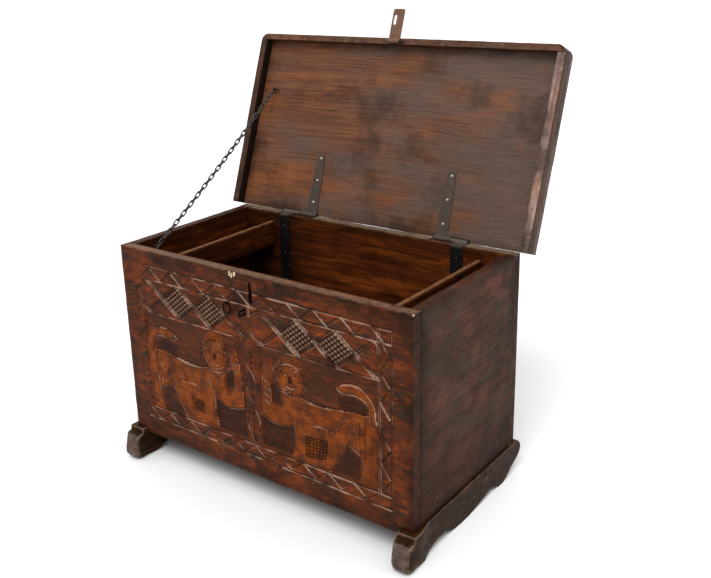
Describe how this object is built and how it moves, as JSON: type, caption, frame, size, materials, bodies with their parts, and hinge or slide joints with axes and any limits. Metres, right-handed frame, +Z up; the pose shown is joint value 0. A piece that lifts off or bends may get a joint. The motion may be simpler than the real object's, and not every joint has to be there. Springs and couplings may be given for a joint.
{
  "type": "coffer chest",
  "caption": "Six-board wooden coffer on sledge runners with a hinged lipped lid, carved front, inner tills, iron strap hinges, lid chain, hasp and staple.",
  "frame": {"origin": "on the floor, under the middle of the open chest's box", "axes": "+X to the chest's right as seen from the front, +Y to the back, +Z up"},
  "size_m": [1.018, 0.771, 1.237],
  "materials": {
    "front_wood": "worn, carved",
    "case_wood": "worn, dull",
    "inner_wood": "bare, dark with age",
    "runner_wood": "worn, dark",
    "lid_wood": "bare, weathered",
    "iron": "forged, dark",
    "rusty_iron": "rusty"
  },
  "bodies": {
    "case": {"front_board": "front_wood", "back_board": "case_wood", "left_end_board": "case_wood", "right_end_board": "case_wood", "bottom_plank_1": "inner_wood", "bottom_plank_2": "inner_wood", "bottom_plank_3": "inner_wood", "left_runner": "runner_wood", "right_runner": "runner_wood", "left_till_side": "inner_wood", "left_till_floor": "inner_wood", "right_till_side": "inner_wood", "right_till_floor": "inner_wood", "back_strap_left": "iron", "back_strap_right": "iron", "hinge_pin_left": "iron", "hinge_pin_right": "iron", "back_strap_nails": "iron", "corner_pegs": "case_wood", "floor_nails": "iron", "runner_dowels": "runner_wood", "case_chain_staple": "iron", "lock_staple": "iron", "ring_eye": "iron", "lid_chain": "iron"},
    "lid": {"lid_board": "lid_wood", "front_lip": "lid_wood", "left_lip": "lid_wood", "right_lip": "lid_wood", "lid_strap_left": "iron", "lid_strap_right": "iron", "lid_strap_nails": "iron", "lip_nails": "iron", "lid_chain_staple": "iron", "hasp_staple": "iron"},
    "hasp": {"hasp": "rusty_iron"},
    "front_ring": {"front_ring": "iron"}
  },
  "joints": [
    {"name": "lid_hinge", "type": "hinge", "parent": "case", "child": "lid", "pos_m": [0, 0.17955, 0.642], "axis": [1, 0, 0], "range_deg": [0, 110], "deforming": ["lid_chain"]},
    {"name": "hasp_hinge", "type": "hinge", "parent": "lid", "child": "hasp", "pos_m": [-0.01, 0.32591, 1.14955], "axis": [1, 0, 0], "range_deg": [0, 95]},
    {"name": "ring_swing", "type": "hinge", "parent": "case", "child": "front_ring", "pos_m": [-0.074, -0.34645, 0.558], "axis": [-1, 0, 0], "range_deg": [-8, 100]}
  ]
}
